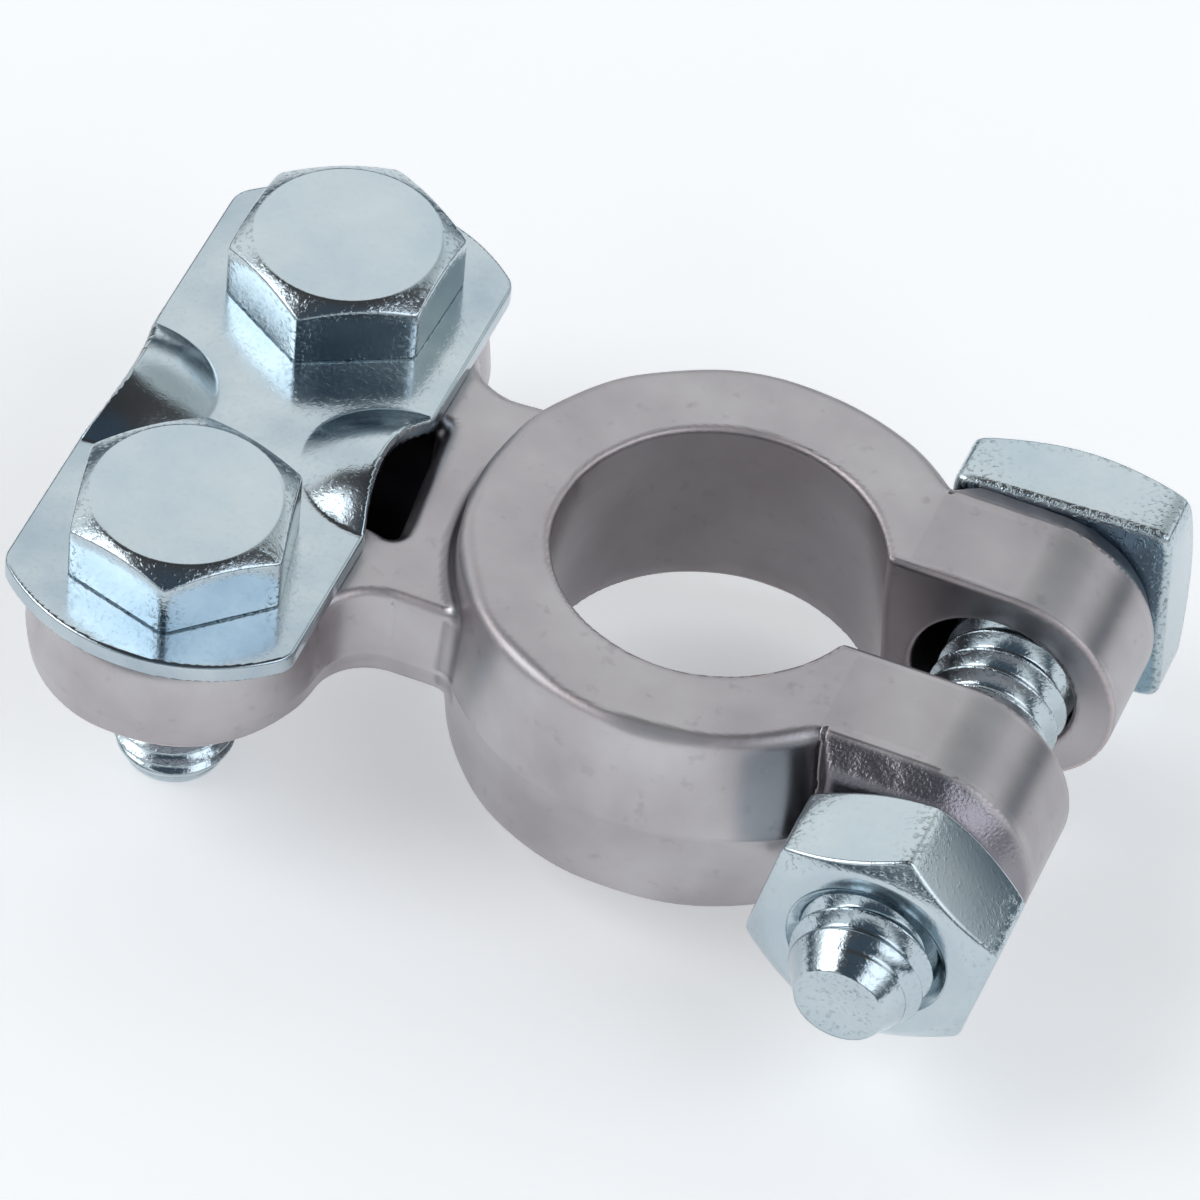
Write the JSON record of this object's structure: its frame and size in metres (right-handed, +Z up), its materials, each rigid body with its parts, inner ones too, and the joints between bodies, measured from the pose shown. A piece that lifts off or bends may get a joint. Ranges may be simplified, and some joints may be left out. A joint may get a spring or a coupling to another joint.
{
  "type": "battery terminal clamp",
  "caption": "Cast battery post clamp with a split ring, a square-head tightening bolt and nut, and a bolted plate that holds the cable in a half-round trough.",
  "frame": {"origin": "on the axis of the post bore, at the flat underside of the ring", "axes": "+Z up along the post bore, +X from the bore to the split ears, -X to the cable saddle, +Y to the square head of the tightening bolt"},
  "size_m": [0.0589, 0.0418, 0.0202],
  "materials": {
    "casting": "satin tin plating",
    "plated_steel": "bright zinc plating"
  },
  "bodies": {
    "casting": {"clamp_body": "casting"},
    "tightening_bolt": {"clamp_bolt": "plated_steel"},
    "tightening_nut": {"clamp_nut": "plated_steel"},
    "plate": {"cable_plate": "plated_steel"},
    "rear_bolt": {"cable_bolt_rear": "plated_steel"},
    "front_bolt": {"cable_bolt_front": "plated_steel"}
  },
  "joints": [
    {"name": "nut_turn", "type": "hinge", "parent": "casting", "child": "tightening_nut", "pos_m": [0.0161, -0.0149, 0.0067], "axis": [0, -1, 0], "range_deg": [0, 960]},
    {"name": "bolt_travel", "type": "slide", "parent": "casting", "child": "tightening_bolt", "axis": [0, 1, 0], "range_m": [0, 0.00402]},
    {"name": "plate_lift", "type": "slide", "parent": "casting", "child": "plate", "axis": [0, 0, 1], "range_m": [0, 0.00603]},
    {"name": "rear_bolt_turn", "type": "hinge", "parent": "plate", "child": "rear_bolt", "pos_m": [-0.0271, 0.0112, 0.01225], "axis": [0, 0, 1], "range_deg": [0, 2160]},
    {"name": "front_bolt_turn", "type": "hinge", "parent": "plate", "child": "front_bolt", "pos_m": [-0.0271, -0.0112, 0.01225], "axis": [0, 0, 1], "range_deg": [0, 2170]}
  ],
  "couplings": [
    {"joint": "bolt_travel", "follows": "nut_turn", "m_per_rad": 0.00023873},
    {"joint": "plate_lift", "follows": "rear_bolt_turn", "m_per_rad": 0.00015915},
    {"joint": "front_bolt_turn", "follows": "rear_bolt_turn", "ratio": 1}
  ]
}
